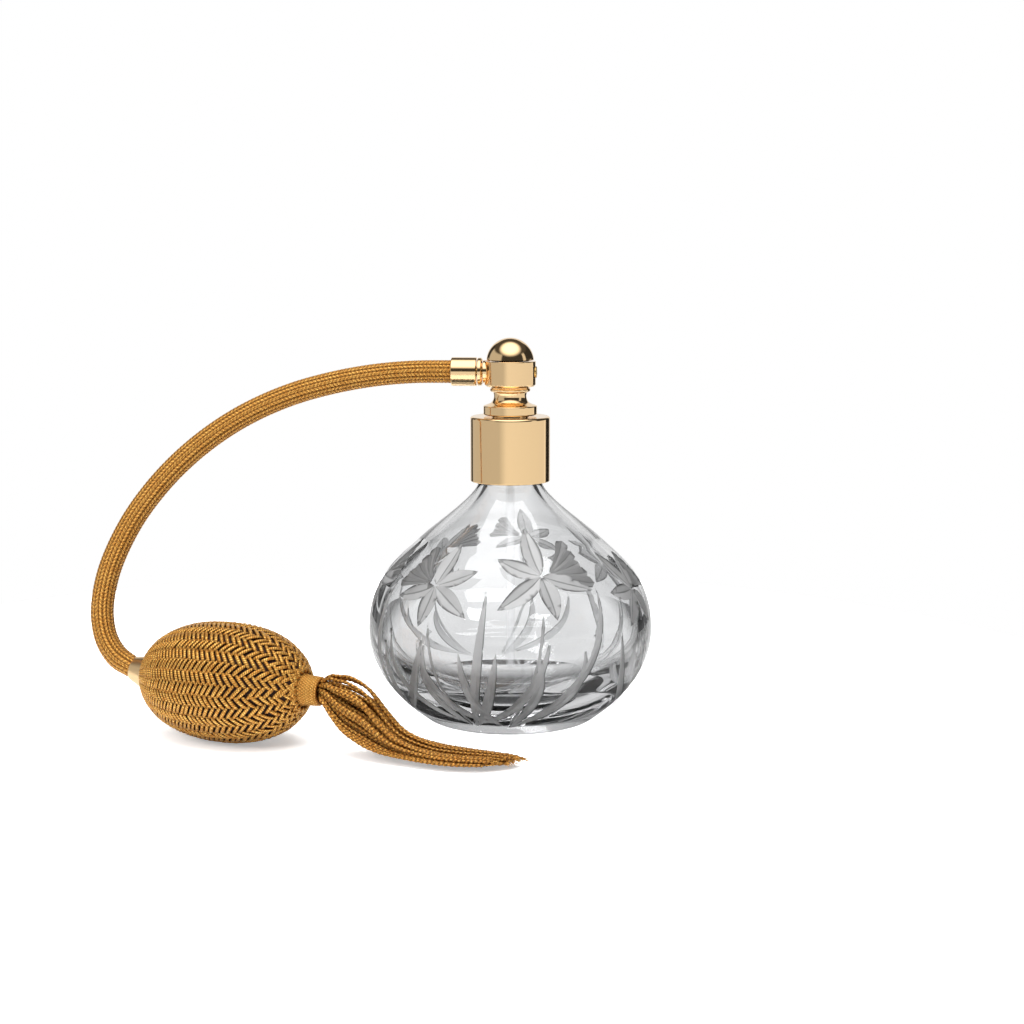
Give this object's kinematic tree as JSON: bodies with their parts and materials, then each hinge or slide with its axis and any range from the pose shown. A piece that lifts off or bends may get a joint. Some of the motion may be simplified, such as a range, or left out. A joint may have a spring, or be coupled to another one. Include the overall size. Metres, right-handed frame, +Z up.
{
  "type": "perfume atomiser",
  "caption": "Free-standing cut-crystal perfume bottle with a gold screw-on spray mount, braided hose, knitted squeeze bulb and tassel.",
  "frame": {"origin": "centre of the bottle's flat foot, on the surface it stands on", "axes": "+Z up along the bottle's axis; the hose arm leaves towards -X and a little +Y, and the nozzle faces +X"},
  "size_m": [0.1561, 0.1, 0.1069],
  "materials": {
    "cut_crystal": "clear polished crystal with frosted cut flowers",
    "polished_gold": "pale gold plate, polished",
    "inner_brass": "turned brass",
    "white_seal": "matt sealing plastic",
    "clear_tube": "clear tube",
    "braided_thread": "fine braid of metallic gold thread",
    "knitted_thread": "chunky herringbone knit of metallic gold thread",
    "woven_thread": "fine woven metallic gold thread",
    "tassel_cord": "twisted two-ply metallic gold cord",
    "black_rubber": "matt moulded rubber"
  },
  "bodies": {
    "bottle": {"glass_bottle": "cut_crystal", "neck_thread_ring": "inner_brass"},
    "rim_seal": {"rim_washer": "white_seal"},
    "plug": {"seat_plug": "inner_brass", "dip_tube": "clear_tube"},
    "collar": {"collar_shell": "polished_gold", "collar_liner": "white_seal"},
    "head": {"spray_head": "polished_gold", "dome_cap": "polished_gold", "dome_washer": "white_seal", "spray_nozzle": "inner_brass", "swirl_plug": "white_seal", "air_nipple": "inner_brass", "hose_nut": "polished_gold", "hose_ferrule": "polished_gold", "hose": "braided_thread", "swivel_washer": "white_seal"},
    "bulb": {"cone_ferrule": "polished_gold", "bulb_air_tube": "inner_brass", "rubber_bulb_lower": "black_rubber", "knitted_cover": "knitted_thread", "inlet_valve_body": "inner_brass", "tassel_sleeve": "woven_thread"},
    "bulb_top": {"rubber_bulb_upper": "black_rubber"},
    "valve_disc": {"inlet_valve_disc": "black_rubber"},
    "tassel": {"tassel_skirt": "tassel_cord"}
  },
  "joints": [
    {"name": "lift_off", "type": "slide", "parent": "bottle", "child": "rim_seal", "axis": [0, 0, 1], "range_m": [0, 0.075]},
    {"name": "thread_rise", "type": "slide", "parent": "rim_seal", "child": "plug", "axis": [0, 0, 1], "range_m": [0, 0.0032]},
    {"name": "collar_turn", "type": "hinge", "parent": "plug", "child": "collar", "pos_m": [0, 0, 0.076], "axis": [0, 0, 1], "range_deg": [0, 720]},
    {"name": "head_swivel", "type": "hinge", "parent": "plug", "child": "head", "pos_m": [0, 0, 0.081], "axis": [0, 0, 1], "continuous": true},
    {"name": "hose_bend", "type": "hinge", "parent": "head", "child": "bulb", "pos_m": [-0.0163, 0.0014, 0.0974], "axis": [0.0872, 0.9962, 0], "range_deg": [0, 30], "deforming": ["hose"]},
    {"name": "bulb_squeeze", "type": "slide", "parent": "bulb", "child": "bulb_top", "axis": [0, 0, -1], "range_m": [0, 0.009], "stiffness_N_per_m": 400, "deforming": ["rubber_bulb_upper", "rubber_bulb_lower", "knitted_cover"]},
    {"name": "inlet_valve", "type": "slide", "parent": "bulb", "child": "valve_disc", "axis": [0.9272, -0.3746, 0], "range_m": [-0.0007, 0.0007]},
    {"name": "tassel_swing", "type": "hinge", "parent": "bulb", "child": "tassel", "pos_m": [-0.0496, -0.0399, 0.0162], "axis": [0, 0, 1], "range_deg": [-40, 10], "deforming": ["tassel_skirt"]}
  ],
  "couplings": [
    {"joint": "thread_rise", "follows": "collar_turn", "m_per_rad": 0.00023873}
  ]
}
